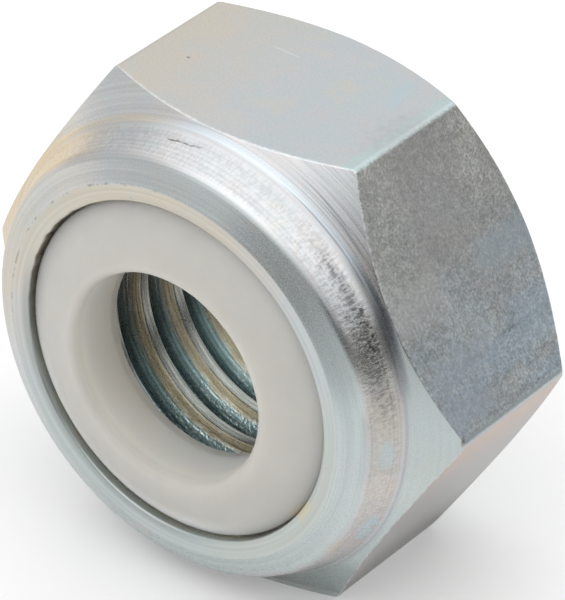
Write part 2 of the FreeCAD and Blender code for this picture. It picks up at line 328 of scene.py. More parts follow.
def welded_mesh(name, points, faces, finishes):
    """A mesh of the points and faces, welded within a fifth of a micrometre, its faces pointing out.
    Each face keeps the number of its finish."""
    mesh = bpy.data.meshes.new(name)
    mesh.from_pydata(points, [], faces)
    mesh.polygons.foreach_set("material_index", finishes.astype(np.int32))
    work = bmesh.new()
    work.from_mesh(mesh)
    bmesh.ops.remove_doubles(work, verts=work.verts, dist=2e-7)
    bmesh.ops.dissolve_degenerate(work, edges=work.edges, dist=1e-8)
    bmesh.ops.recalc_face_normals(work, faces=work.faces)
    if work.calc_volume(signed=True) < 0:
        bmesh.ops.reverse_faces(work, faces=work.faces)
    open_edges = sum(1 for edge in work.edges if not edge.is_manifold)
    volume = round(work.calc_volume() * 1e9, 2)
    print(name, "has", len(work.faces), "faces,", open_edges, "open edges,", volume, "mm3")
    work.to_mesh(mesh)
    work.free()
    mesh.validate()
    return mesh


def area_normals(mesh):
    """The normal of each point: the sum of the area vectors of its triangles, made one unit long."""
    mesh.calc_loop_triangles()
    corners = np.zeros(len(mesh.loop_triangles) * 3, np.int32)
    mesh.loop_triangles.foreach_get("vertices", corners)
    corners = corners.reshape(-1, 3)
    points = np.zeros(len(mesh.vertices) * 3, np.float32)
    mesh.vertices.foreach_get("co", points)
    points = points.reshape(-1, 3).astype(float) * 1000
    a, b, c = (points[corners[:, i]] for i in range(3))
    area = np.cross(b - a, c - a)
    total = np.zeros_like(points)
    for i in range(3):
        np.add.at(total, corners[:, i], area)
    return total / np.maximum(np.linalg.norm(total, axis=1, keepdims=True), 1e-12)


def new_object(name, data):
    """An object at the origin of the scene."""
    made = bpy.data.objects.new(name, data)
    bpy.context.scene.collection.objects.link(made)
    return made


def new_piece(name, mesh, materials):
    """An object whose mesh has area-weighted shading and the given materials."""
    mesh.polygons.foreach_set("use_smooth", np.ones(len(mesh.polygons), dtype=bool))
    mesh.normals_split_custom_set_from_vertices(area_normals(mesh))
    for material in materials:
        mesh.materials.append(material)
    return new_object(name, mesh)


# %% [markdown]
# ## Node helpers
#
# Materials are graphs of nodes, and a few short helpers keep them readable. What a node gives is held as
# a value that can be added, subtracted and multiplied like a number, and each such step adds a Math node.
# Others mix colours and read a noise. The last ones open a node group, which is a small graph with named
# inputs and outputs that several materials share, and place it.


# %% Helpers for node trees
class Value:
    """What a node gives: a number, a colour or a vector."""

    def __init__(self, tree, socket):
        self.tree = tree
        self.socket = socket

    def __add__(self, other):
        return calc("ADD", self, other)

    def __sub__(self, other):
        return calc("SUBTRACT", self, other)

    def __rsub__(self, other):
        return calc("SUBTRACT", other, self)

    def __mul__(self, other):
        return calc("MULTIPLY", self, other)


def fill(socket, value):
    """Gives an input its value. One that comes from a node is linked."""
    if isinstance(value, Value):
        value.tree.links.new(value.socket, socket)
    else:
        socket.default_value = value


def add(tree, kind, sockets=None, output=0, **settings):
    """Adds a node, fills its sockets and returns one of its outputs."""
    item = tree.nodes.new(kind)
    for name, setting in settings.items():
        setattr(item, name, setting)
    for name, value in (sockets or {}).items():
        fill(item.inputs[name], value)
    return Value(tree, item.outputs[output])


def all_outputs(value):
    """All the outputs of the value's node, by name."""
    return {item.name: Value(value.tree, item) for item in value.socket.node.outputs}


def calc(operation, *values):
    """The output of a Math node. At least one of its values comes from a node."""
    tree = next(value.tree for value in values if isinstance(value, Value))
    return add(tree, "ShaderNodeMath", dict(enumerate(values)), operation=operation)


def vector_calc(operation, *values, output="Vector"):
    """An output of a Vector Math node."""
    return add(values[0].tree, "ShaderNodeVectorMath", dict(enumerate(values)), output, operation=operation)


def smooth(value, low, high, start=0.0, end=1.0):
    """Goes smoothly from start to end while the value goes from low to high."""
    sockets = {"Value": value, "From Min": low, "From Max": high, "To Min": start, "To Max": end}
    return add(value.tree, "ShaderNodeMapRange", sockets, interpolation_type="SMOOTHSTEP")


def band(value, centre, none, full):
    """1 where the value is within one distance of a centre, 0 beyond another."""
    return smooth(calc("ABSOLUTE", value - centre), none, full)


def blend(factor, first, second):
    """Mixes two colours."""
    return add(factor.tree, "ShaderNodeMix", {0: factor, 6: first, 7: second}, 2, data_type="RGBA")


def blend_values(factor, first, second):
    """Mixes two numbers."""
    return add(factor.tree, "ShaderNodeMix", {0: factor, 2: first, 3: second})


def scaled(colour, factor):
    """A colour or vector times a number."""
    return add(colour.tree, "ShaderNodeVectorMath", {0: colour, "Scale": factor}, operation="SCALE")


def noise(vector, scale, detail=2.0, roughness=0.6, **fourth):
    """The value of a noise texture, about 0.5 on average. A fourth coordinate may be given as W."""
    settings = {"noise_dimensions": "4D"} if fourth else {}
    sockets = {"Vector": vector, **fourth, "Scale": scale, "Detail": detail, "Roughness": roughness}
    return add(vector.tree, "ShaderNodeTexNoise", sockets, **settings)


def in_millimetres(tree):
    """The object's own coordinates, in millimetres."""
    return scaled(add(tree, "ShaderNodeTexCoord", output="Object"), 1000.0)


def split(vector):
    """The three parts of a vector."""
    return list(all_outputs(add(vector.tree, "ShaderNodeSeparateXYZ", {0: vector})).values())


def joined(x, y, z):
    """A vector of three parts."""
    return add(x.tree, "ShaderNodeCombineXYZ", {0: x, 1: y, 2: z})


def open_group(name, inputs, outputs):
    """A new node group with the given inputs, their types and starting values, and outputs."""
    group = bpy.data.node_groups.new(name, "ShaderNodeTree")
    for label, (kind, value) in inputs.items():
        socket = group.interface.new_socket(label, in_out="INPUT", socket_type=f"NodeSocket{kind}")
        socket.default_value = value
    for label, kind in outputs.items():
        group.interface.new_socket(label, in_out="OUTPUT", socket_type=f"NodeSocket{kind}")
    print("group", name, "takes", list(inputs), "and gives", list(outputs))
    sockets = group.nodes.new("NodeGroupInput").outputs
    given = {label: Value(group, sockets[label]) for label in inputs}
    return group, given, group.nodes.new("NodeGroupOutput").inputs


def use(tree, group, sockets=None):
    """Places a node group and returns its outputs by name."""
    return all_outputs(add(tree, "ShaderNodeGroup", sockets, node_tree=group))


# %% [markdown]
# ## Where on the nut am I?
#
# Turning marks run round the axis, so a pattern has to know its radius and its height. This group works
# them out from the object's own coordinates, in millimetres, with the cosine and sine of the angle round
# the axis. The angle itself would jump where a turn ends, and its cosine and sine don't.

# %% Group: place on the nut
place_group, _, place_out = open_group(
    "nut_place", {}, {"Radius": "Float", "Height": "Float", "Cosine": "Float", "Sine": "Float"}
)
across, along, level = split(in_millimetres(place_group))
upwards = level - AXIS_HEIGHT
radius = calc("SQRT", across * across + upwards * upwards)
fill(place_out["Radius"], radius)
fill(place_out["Height"], BEARING_FACE_Y - along)
fill(place_out["Cosine"], calc("DIVIDE", across, radius))
fill(place_out["Sine"], calc("DIVIDE", upwards, radius))


def towards(where, angle, full, none):
    """1 within the first number of degrees from an angle round the axis, 0 beyond the second. The
    cosine of the distance between the two angles is the scalar product of their directions."""
    cosine, sine = math.cos(math.radians(angle)), math.sin(math.radians(angle))
    nearness = where["Cosine"] * cosine + where["Sine"] * sine
    return smooth(nearness, math.cos(math.radians(none)), math.cos(math.radians(full)))


# %% [markdown]
# ## The colours of passivated zinc
#
# A thin clear layer on the zinc plays faintly with colour, from straw through green and blue to pink. A
# soft noise picks a colour along a ramp, and a finer one breaks it up. Where the bath stood or drained,
# one colour wins over a larger area, so four masks lay straw, green, blue and pink over the play.

# %% Group: zinc colour
wash_colours = {
    "Straw": (0.655, 0.550, 0.390, 1),
    "Green": (0.525, 0.625, 0.615, 1),
    "Blue": (0.515, 0.595, 0.650, 1),
    "Pink": (0.640, 0.545, 0.505, 1),
}
PLAIN_ZINC = (0.583, 0.590, 0.595, 1)
zinc_group, zinc_in, zinc_out = open_group(
    "zinc_colour",
    {
        "Play": ("Float", 0.5),
        "Patch size": ("Float", 0.35),
        **{name: ("Float", 0.0) for name in wash_colours},
    },
    {"Color": "Color"},
)
in_mm = in_millimetres(zinc_group)
cloud = noise(in_mm, zinc_in["Patch size"], 3.0)
ramp = add(zinc_group, "ShaderNodeValToRGB", {"Fac": noise(in_mm, 2.6, 4.0, 0.65) * 0.3 + cloud * 0.85})
bands = [
    (0.36, (0.63, 0.595, 0.515, 1)), (0.46, (0.58, 0.60, 0.58, 1)), (0.53, (0.54, 0.59, 0.615, 1)),
    (0.60, (0.59, 0.585, 0.605, 1)), (0.68, (0.63, 0.59, 0.56, 1)), (0.78, (0.57, 0.605, 0.60, 1)),
]
stops = ramp.socket.node.color_ramp.elements
stops[0].position, stops[0].color = bands[0]
stops[1].position, stops[1].color = bands[-1]
for position, colour in bands[1:-1]:
    stops.new(position).color = colour
tinted = blend(zinc_in["Play"], PLAIN_ZINC, ramp)
unevenness = smooth(cloud, 0.3, 0.65, 0.65, 1.1)
for name, wash in wash_colours.items():
    tinted = blend(zinc_in[name] * unevenness, tinted, wash)
fill(zinc_out["Color"], tinted)

# %% [markdown]
# ## Marks of the lathe
#
# A turned face carries fine rings. They are a noise that changes quickly with radius and height and very
# slowly round the axis, so its spots are drawn out into rings that fade in and out.

# %% Group: turning marks
turning_group, turning_in, turning_out = open_group(
    "turning_marks", {"Rings per mm": ("Float", 9.0), "Fading": ("Float", 1.6)}, {"Rings": "Float"}
)
where = use(turning_group, place_group)
dense, fading = turning_in.values()
ring_spot = joined(where["Radius"] * dense, where["Height"] * dense, where["Cosine"] * fading)
fill(turning_out["Rings"], noise(ring_spot, 1.0, 1.5, 0.6, W=where["Sine"] * fading))

# %% [markdown]
# ## Grain and specks
#
# Plated steel sparkles a little, because its crystals and the scratches below them catch the light. The
# grain is a fine noise. The specks are the centres of a few scattered cells, small dark pits in the zinc.

# %% Group: grain and specks
grain_group, grain_in, grain_out = open_group(
    "zinc_grain",
    {"Grain per mm": ("Float", 14.0), "Specks per mm": ("Float", 1.6), "Speck size": ("Float", 0.09)},
    {"Grain": "Float", "Specks": "Float"},
)
in_mm = in_millimetres(grain_group)
voronoi = {"Vector": in_mm, "Scale": grain_in["Specks per mm"]}
cells = all_outputs(add(grain_group, "ShaderNodeTexVoronoi", voronoi))
lot = split(cells["Color"])[0]
near = smooth(cells["Distance"], grain_in["Speck size"], 0.0)
fill(grain_out["Grain"], noise(in_mm, grain_in["Grain per mm"], 3.0, 0.75))
fill(grain_out["Specks"], near * smooth(lot, 0.45, 0.5))

# %% [markdown]
# ## Single marks
#
# A real nut has a few marks of its own: a crack in the rolled wall, a nick at a corner, a scratch, a dot.
# Each is a short streak at a known place. Its mask is 1 close to a line through that place and fades to
# the sides and the ends, and a noise that shifts the place a little makes its edge ragged.

# %% Group: single mark
mark_group, mark_in, mark_out = open_group(
    "single_mark",
    {
        "Centre": ("Vector", (0.0, 0.0, 0.0)),
        "Direction": ("Vector", (1.0, 0.0, 0.0)),
        "Half length": ("Float", 0.5),
        "Half width": ("Float", 0.03),
        "Raggedness": ("Float", 0.06),
    },
    {"Mask": "Float"},
)
in_mm = in_millimetres(mark_group)
shaken = add(mark_group, "ShaderNodeTexNoise", {"Vector": in_mm, "Scale": 5.0, "Detail": 3.0}, "Color")
shaken = scaled(vector_calc("SUBTRACT", shaken, (0.5, 0.5, 0.5)), mark_in["Raggedness"])
offset = vector_calc("SUBTRACT", vector_calc("ADD", in_mm, shaken), mark_in["Centre"])
direction = vector_calc("NORMALIZE", mark_in["Direction"])
lengthwise = calc("ABSOLUTE", vector_calc("DOT_PRODUCT", offset, direction, output="Value"))
from_line = vector_calc("LENGTH", vector_calc("CROSS_PRODUCT", offset, direction), output="Value")
along_share = calc("DIVIDE", lengthwise, mark_in["Half length"])
across_share = calc("DIVIDE", from_line, mark_in["Half width"])
fill(mark_out["Mask"], smooth(along_share, 1.0, 0.6) * smooth(across_share, 1.0, 0.3))


def marked(base, marks):
    """The colour with single marks laid over it. Each mark has a colour, a strength and its values for
    the group: centre, direction, half of its length and width, and raggedness."""
    for colour, strength, *values in marks:
        mask = use(base.tree, mark_group, dict(zip(mark_in, values)))["Mask"]
        base = blend(mask * strength, base, colour)
    return base


# %% [markdown]
# ## Four finishes of one steel
#
# The bar's flats, the turned chamfers, the rolled collar and the tapped hole were made in different ways,
# so they carry different marks under the same zinc. Each finish is a material of its own, built from the
# shared groups with its own values.


# %% A metal material to fill in
PIT = (0.20, 0.19, 0.17, 1)
WHITE = (1, 1, 1, 1)


def new_material(name):
    """A material, its node tree and the inputs of its shader."""
    material = bpy.data.materials.new(name)
    material.use_nodes = True
    print("material", name)
    return material, material.node_tree, material.node_tree.nodes["Principled BSDF"].inputs


def new_metal(name):
    """The same, with a metallic shader."""
    material, tree, shader = new_material(name)
    fill(shader["Metallic"], 1.0)
    return material, tree, shader


def dress(shader, colour, roughness, relief, depth):
    """Links a colour, a roughness and a relief, whose full height is the depth in micrometres."""
    fill(shader["Base Color"], colour)
    fill(shader["Roughness"], roughness)
    bump = {"Height": relief, "Strength": 1.0, "Distance": depth * 1e-6}
    fill(shader["Normal"], add(relief.tree, "ShaderNodeBump", bump))


# %% [markdown]
# ### The flats
#
# The flats are the drawn skin of the bar. The one on top is smooth and satin. The one on the right has an
# open grain, with streaks and bluish patches along the axis, and stays smooth near its edges, where the
# bar's round corners were rubbed bright. The lower one shows a peach-coloured stripe along its upper edge,
# and painted shade makes it darker, most towards its lower edge by the floor.

# %% Finish of the flats: where each flat lies
flat_zinc, tree, shader = new_metal("drawn_zinc")
where = use(tree, place_group)
radius, height, cosine, sine = where.values()
top_side = towards(where, 90, 29.5, 30.5)
gritty_side = towards(where, 30.2, 29.3, 30.1)
lower_side = towards(where, -30, 28.5, 30.5)
spot = add(tree, "ShaderNodeTexCoord", output="Object")
drawn_out = add(tree, "ShaderNodeMapping", {"Vector": spot, "Scale": (900.0, 330.0, 900.0)})
streaked = add(tree, "ShaderNodeMapping", {"Vector": spot, "Scale": (3200.0, 220.0, 3200.0)})
patches = smooth(noise(drawn_out, 1.0, 3.0), 0.42, 0.58)
streaks = smooth(noise(streaked, 1.0, 3.0), 0.52, 0.66)
grit = use(tree, grain_group, {"Grain per mm": 14.0, "Specks per mm": 6.0, "Speck size": 0.24})
in_mm = in_millimetres(tree)
coarse_grit = noise(in_mm, 5.0, 3.0, 0.7)
slow_change = noise(in_mm, 0.45, 2.0)

# %% Finish of the flats: colour
straw = top_side * smooth(cosine, 0.08, -0.5, 0.0, 0.42)
blue_right = top_side * smooth(cosine, -0.25, 0.35, 0.0, 0.22)
low_down = smooth(sine, 0.8, 0.1)
blue_patches = gritty_side * (patches * 0.75 + 0.25) * (low_down * 0.9 + 0.1)
colour = use(tree, zinc_group, {
    "Play": top_side * 0.50 + 0.15,
    "Patch size": 0.5,
    "Green": calc("MAXIMUM", top_side * -0.08 + 0.20, towards(where, 61, 0.7, 2.2)),
    "Straw": gritty_side * smooth(sine, 0.1, 0.86) * 0.26 + straw,
    "Blue": blue_right + blue_patches,
    "Pink": lower_side * smooth(sine, -0.55, 0.0, 0.30, 0.95),
})["Color"]
grain_shade = (
    smooth(grit["Grain"], 0.33, 0.67, 0.76, 1.22)
    * smooth(coarse_grit, 0.35, 0.65, 0.88, 1.10)
    * smooth(slow_change, 0.35, 0.65, 0.90, 1.04)
)
streak_depth = streaks * smooth(sine, 0.75, 0.2, 0.0, 0.12)
smooth_shade = smooth(grit["Grain"], 0.35, 0.65, 0.95, 1.035)
shade = blend_values(gritty_side, smooth_shade, grain_shade - streak_depth)
# painted shade: the lower flat is darker, most towards its lower edge by the floor
painted_floor_shade = smooth(sine, -0.87, -0.64, -0.36, -0.185)
base = scaled(colour, shade * (lower_side * painted_floor_shade + 1.0))
pitted = gritty_side * smooth(sine, 0.7, 0.1, 0.16, 0.34)
base = blend(grit["Specks"] * pitted, base, PIT)
rubbed_strip = towards(where, 0.3, 0.5, 1.3) * gritty_side * 0.7
base = blend(rubbed_strip, base, (0.47, 0.535, 0.55, 1))
peach_strip = lower_side * smooth(sine, -0.30, -0.04) * 0.65
base = blend(peach_strip, base, (0.60, 0.465, 0.385, 1))

# %% Finish of the flats: rubbed rim and single marks
rim_height = radius * -CHAMFER_SLOPE + (SEAT_HEIGHT + FOOT_RADIUS * CHAMFER_SLOPE)
near_rim = smooth(rim_height - height, 0.10, 0.02)
rubbed = near_rim * smooth(coarse_grit, 0.46, 0.60) * (top_side * -0.35 + 0.75)
base = blend(rubbed, base, (0.80, 0.83, 0.85, 1))
BLUISH = (0.50, 0.60, 0.69, 1)
base = marked(base, [
    (PIT, 0.7, (-2.59, 0.12, 13.0), (1, 0, 0), 0.06, 0.05, 0.06),
    ((0.8, 0.8, 0.78, 1), 0.5, (-0.9, 1.92, 13.0), (1, 0, 0), 0.5, 0.03, 0.06),
    ((0.48, 0.61, 0.66, 1), 0.55, (2.5, 2.1, 13.0), (-0.25, 1, 0), 0.9, 0.28, 0.7),
    (PIT, 0.9, (7.44, -1.45, 6.5), (0, 0.4, 1), 0.26, 0.10, 0.06),
    ((0.44, 0.445, 0.45, 1), 0.5, (4.5, 0.65, 11.7), (-0.5, 0, 0.87), 2.2, 1.7, 1.2),
    (BLUISH, 0.45, (5.6, 2.6, 9.75), (0, 1, 0), 1.5, 0.7, 1.0),
    (BLUISH, 0.4, (6.6, -0.3, 8.1), (0, 1, 0), 1.5, 0.7, 1.0),
    (BLUISH, 0.5, (7.1, -1.1, 7.2), (0, 1, 0), 1.5, 0.7, 1.0),
    (BLUISH, 0.3, (6.6, 3.0, 7.9), (0, 1, 0), 1.5, 0.7, 1.0),
    ((0.68, 0.68, 0.66, 1), 0.4, (5.6, -1.05, 9.75), (0, 1, 0), 1.3, 0.9, 1.0),
])

# %% Finish of the flats: relief
rough = gritty_side * 0.06 + smooth(grit["Grain"], 0.3, 0.7, 0.33, 0.41)
dress(shader, base, rough, grit["Grain"] * (gritty_side * 0.75 + 0.12), depth=7.0)

# %% [markdown]
# ### Chamfers, foot and bearing face
#
# These faces came off the lathe, and the rings show in both the colour and the relief. On the side of the
# gritty flat, a chip scored the chamfer with darker rings. The zinc is straw-coloured on the left, bluish
# in the fillet at the top and green at the lower right.

# %% Finish of the turned faces
turned_zinc, tree, shader = new_metal("turned_zinc")
where = use(tree, place_group)
radius, height, cosine, sine = where.values()
rings = use(tree, turning_group, {"Rings per mm": 16.0, "Fading": 0.9})["Rings"]
scores = use(tree, turning_group, {"Rings per mm": 13.0, "Fading": 2.4})["Rings"]
grit = use(tree, grain_group, {"Grain per mm": 18.0, "Specks per mm": 1.1, "Speck size": 0.06})
in_fillet = smooth(radius, 6.52, 6.42) * smooth(height, 6.0, 6.1)
colour = use(tree, zinc_group, {
    "Play": 0.45,
    "Patch size": 0.4,
    "Straw": towards(where, 180, 22, 60) * 0.85 + in_fillet * towards(where, 130, 14, 34) * 0.55,
    "Green": towards(where, -22, 30, 60) * 0.65,
    "Blue": in_fillet * towards(where, 62, 25, 50) * 0.6,
})["Color"]
near_foot = smooth(radius, 7.0, 6.65, 0.22, 1.0)
scored = towards(where, 49, 8, 22) * smooth(scores, 0.48, 0.62) * near_foot * 0.35
turned_rings = 1.0 - towards(where, -20, 35, 60) * 0.65
shade = smooth(rings, 0.3, 0.7, -0.08, 0.05) * turned_rings + 1.0 - scored
shade = shade + towards(where, 115, 12, 28) * 0.06
# painted shade: darker by the bottom corner near the floor, and in the crease of the foot on the right
shade = shade + towards(where, -62, 8, 22) * -0.28
shade = shade + in_fillet * towards(where, 30, 8, 20) * -0.36
base = blend(grit["Specks"] * 0.5, scaled(colour, shade), PIT)
foot_line = band(radius, 6.33, 0.05, 0.01) * towards(where, -8, 28, 50) * 0.4
base = blend(foot_line, base, (0.38, 0.35, 0.40, 1))
base = marked(base, [
    (PIT, 0.9, (7.44, -1.45, 6.5), (0, 0.4, 1), 0.26, 0.09, 0.06),
    (PIT, 0.9, (5.35, -2.34, 2.9), (1, 0, 0), 0.12, 0.09, 0.06),
])
rough = smooth(grit["Grain"], 0.3, 0.7, 0.24, 0.29)
edge_tint = blend(towards(where, 165, 18, 40), WHITE, (1.0, 0.95, 0.87, 1))
fill(shader["Specular Tint"], edge_tint)
dress(shader, base, rough, grit["Grain"] * 0.05 + rings * turned_rings, depth=5.0)

# %% [markdown]
# ### The rolled collar
#
# A roller pressed the collar over the ring while the nut spun. It left fine rings on the slope and a
# smooth, cream-coloured lip. The wall is streaked along its slope. On one side the roller chattered and
# left a dark patch of short strokes. Next to it, painted light brightens a line over the wall's foot and
# one under its shoulder, and painted shade darkens the crease of the foot. Painted shade also darkens the
# lip's inner edge at the lower left, and a painted highlight brightens the wall near the top. There are
# also one small crack at the top and a few spots on the right where a blue or golden play stands out.

# %% Finish of the collar: where its parts lie
rolled_zinc, tree, shader = new_metal("rolled_zinc")
where = use(tree, place_group)
radius, height, cosine, sine = where.values()
rings = use(tree, turning_group, {"Rings per mm": 14.0, "Fading": 0.8})["Rings"]
grit = use(tree, grain_group, {"Grain per mm": 17.0, "Specks per mm": 2.4, "Speck size": 0.09})
on_wall = smooth(radius, 5.86, 5.96) * smooth(height, 6.2, 6.4)
on_lip = smooth(radius, 5.24, 5.17) * smooth(height, 7.2, 7.4)
on_slope = smooth(radius, 5.17, 5.24) * smooth(radius, 5.9, 5.8)
strokes = noise(joined(cosine * 80.0, sine * 80.0, height * 6.5), 1.0, 1.5, 0.55)
blocks = noise(in_millimetres(tree), 8.0, 2.0, 0.6)
worst = towards(where, 31, 3, 13)
slight = towards(where, 32, 12, 30) * 0.5
chatter = on_wall * calc("MAXIMUM", worst, slight) * smooth(height, 7.1, 6.7, 0.4, 1.0)
chatter = chatter * smooth(height, 6.34, 6.50)
ridges = band(blocks, 0.5, 0.05, 0.01)
# painted shade: the crease at the foot is darkened on the right
painted_foot_shade = smooth(height, 6.33, 6.22) * towards(where, 30, 8, 20)

# %% Finish of the collar: colour
straw_side = towards(where, 158, 22, 45) * (on_wall * 0.68 + 0.22)
lip_straw = calc("MAXIMUM", towards(where, 118, 35, 75) * 0.55, towards(where, -30, 20, 55) * 0.36)
wall_straw = on_wall * towards(where, 6, 14, 30) * 0.22
lower_green = (on_slope + on_lip) * (towards(where, -65, 70, 115) * 0.45 + 0.10)
colour = use(tree, zinc_group, {
    "Play": 0.40,
    "Patch size": 0.5,
    "Straw": calc("MAXIMUM", straw_side, on_lip * lip_straw) + wall_straw,
    "Green": lower_green + on_slope * towards(where, 60, 30, 65) * 0.26,
    "Pink": on_wall * towards(where, -45, 22, 50) * 0.30,
})["Color"]
struck = smooth(strokes, 0.60, 0.42, -0.02, 0.56) * smooth(blocks, 0.62, 0.42, 0.5, 1.1)
low_band = band(height, 6.64, 0.15, 0.02) * on_wall * towards(where, 39, 7, 18)
low_band = low_band * smooth(strokes, 0.58, 0.44, 0.16, 0.46)
dark_strokes = calc("MAXIMUM", chatter * (ridges * -0.26 + struck), low_band)
wall_strokes = on_wall * smooth(strokes, 0.3, 0.7, 0.08, -0.06)
shade = smooth(rings, 0.3, 0.7, 0.92, 1.05) - (dark_strokes + wall_strokes)
# places where painted light brightens the wall: over its foot and under its shoulder
over_foot = band(height, 6.41, 0.09, 0.02) * on_wall
shoulder = smooth(height, 6.90, 7.06) * smooth(radius, 5.72, 5.84)
# painted light and shade among these: a painted highlight on the wall at 70 degrees, painted light at 23
# degrees, over the foot and under the shoulder, and painted shade in the crease of the foot
for place, change in (
    (on_slope, -0.05),
    (on_slope * towards(where, -62, 40, 75), 0.07),
    (on_wall * towards(where, 70, 9, 22), 0.06),
    (on_wall * towards(where, 8, 10, 20), -0.07),
    (on_slope * towards(where, 58, 25, 48) * smooth(rings, 0.50, 0.60), -0.11),
    (on_wall * towards(where, 23, 3, 8), 0.06),
    (over_foot * towards(where, 32, 10, 22), 0.22),
    (shoulder * towards(where, 24, 7, 16), 0.34),
    (painted_foot_shade, -0.36),
    (on_lip * towards(where, -138, 22, 45), -0.07),
):
    shade = shade + place * change
base = blend(grit["Specks"] * 0.55, scaled(colour, shade), PIT)
gold = on_wall * towards(where, 157, 14, 34) * 0.36
base = blend(gold, base, (0.66, 0.515, 0.345, 1))
# painted shade: the lip's inner edge is darkened at the lower left
painted_lip_shade = smooth(radius, 4.96, 4.84) * towards(where, 225, 40, 70) * 0.62
base = blend(painted_lip_shade, base, (0.34, 0.37, 0.36, 1))
seam = band(radius, 5.22, 0.05, 0.01) * towards(where, 140, 25, 60)
broken = smooth(noise(in_millimetres(tree), 4.0, 4.0, 0.7), 0.52, 0.60)
base = blend(seam * broken * 0.55, base, PIT)
LIGHT_BLUE = (0.51, 0.65, 0.69, 1)
base = marked(base, [
    (PIT, 0.9, (-0.56, -2.59, 12.62), (1, 0.05, 0.10), 0.60, 0.04, 0.16),
    (LIGHT_BLUE, 0.7, (5.52, -2.62, 3.8), (0.45, 0, 0.89), 0.6, 0.34, 0.6),
    (LIGHT_BLUE, 0.5, (6.10, -2.73, 6.39), (0, 0, 1), 0.5, 0.28, 0.6),
    ((0.66, 0.53, 0.40, 1), 0.4, (4.97, -3.17, 3.27), (0.54, 0, 0.84), 0.45, 0.22, 0.4),
    ((0.68, 0.60, 0.38, 1), 0.55, (4.22, -3.56, 4.28), (0.47, 0, 0.88), 0.42, 0.25, 0.25),
])

# %% Finish of the collar: relief
rough = on_lip * 0.06 + smooth(grit["Grain"], 0.3, 0.7, 0.24, 0.29)
wave = ridges * chatter * 0.25 + strokes * (chatter * 0.6 + on_wall * 0.42)
relief = rings * (on_lip * -0.42 + 0.6) + (grit["Grain"] * 0.03 + wave)
edge_tint = blend(towards(where, 160, 18, 36), WHITE, (1.0, 0.94, 0.85, 1))
fill(shader["Specular Tint"], edge_tint)
dress(shader, base, rough, relief, depth=8.0)

# %% [markdown]
# ### The tapped hole
#
# The tap tears fine lines along the helix. In the shelter of the hole the zinc is petrol-coloured towards
# the root of the thread, golden where the flank nears the crest, and pale on the crest itself. Painted
# shade darkens the roots and the upper side of the hole, painted light brightens its lower side, which
# also carries painted glints, and near the open end the painted shade gives way. The place along the
# helix is the share of a pitch since the last crest began: height less the climb for the angle.

# %% Finish of the thread
tapped_zinc, tree, shader = new_metal("tapped_zinc")
where = use(tree, place_group)
radius, height, cosine, sine = where.values()
in_mm = in_millimetres(tree)
angle = calc("ARCTAN2", sine, cosine)
climb = angle * (-PITCH / (2 * math.pi)) + (height - LAND_AT_ZERO)
share = calc("WRAP", calc("DIVIDE", climb, PITCH), 1.0, 0.0)
helix_spot = joined(share * 20.0, radius * 12.0, cosine * 1.8)
torn = noise(helix_spot, 1.0, 3.0, 0.7, W=sine * 1.8)
grit = use(tree, grain_group, {"Grain per mm": 24.0, "Specks per mm": 2.0, "Speck size": 0.08})
wander = noise(in_mm, 2.0, 3.0) * 0.10 + (share - 0.05)
lit_side = towards(where, -95, 15, 110)
petrol = smooth(wander, 0.32, 0.42) * smooth(wander, 0.80, 0.70) * towards(where, -85, 45, 105)
golden = smooth(wander, 0.23, 0.27) * smooth(wander, 0.40, 0.32) * 0.9
base = blend(lit_side, (0.53, 0.50, 0.45, 1), (0.50, 0.53, 0.49, 1))
base = blend(petrol, base, (0.42, 0.60, 0.64, 1))
base = blend(golden, base, (0.66, 0.585, 0.41, 1))
# painted shade: darker at the roots of the thread and on the upper side of the hole, lighter on the lit
# lower side
painted_root_shade = smooth(share, 0.30, 0.60) * smooth(share, 0.95, 0.70)
shade = (
    smooth(torn, 0.35, 0.65, 0.62, 1.18)
    * (painted_root_shade * -0.62 + 1.0)
    * (lit_side * 1.15 + 0.32)
    * smooth(wander, 0.30, 0.44, 0.62, 1.1)
)
# near the open end the painted shade gives way to plain torn lines
open_end = smooth(height, 2.4, 0.9)
shade = blend_values(open_end, shade, smooth(torn, 0.35, 0.65, 0.75, 1.1))
# painted glints: near-white spots on the lit lower side of the hole
flakes = smooth(noise(in_mm, 11.0, 3.0) * 0.6 + torn * 0.4, 0.51, 0.56)
painted_glints = flakes * petrol * towards(where, -85, 12, 50) * 0.8
base = blend(painted_glints, scaled(base, shade), (0.86, 0.93, 0.93, 1))
cone_edge = band(radius + height, COUNTERSINK_RADIUS, 0.05, 0.01)
base = blend(cone_edge, base, (0.55, 0.56, 0.56, 1))
rough = smooth(grit["Grain"], 0.3, 0.7, 0.22, 0.40)
chipped = noise(in_mm, 9.0, 2.0) * towards(where, -85, 15, 55) * petrol * 3.0
dress(shader, base, rough, chipped + (grit["Grain"] * 0.15 + torn), depth=11.0)

# %% [markdown]
# ## The steel piece
#
# Now the two grids become one mesh. Each face gets the finish of its row: the rows between the foot and
# the flat are turned, those between the two edge rounds are drawn, and so on.

# %% Build the steel
STEEL_FINISHES = [flat_zinc, turned_zinc, rolled_zinc, tapped_zinc]
FLAT, TURNED, ROLLED, TAPPED = range(4)
SEAT_WALL, FOOT, TOP_EDGE, BOTTOM_EDGE, OPEN_END = 1, 7, 8, 9, 11
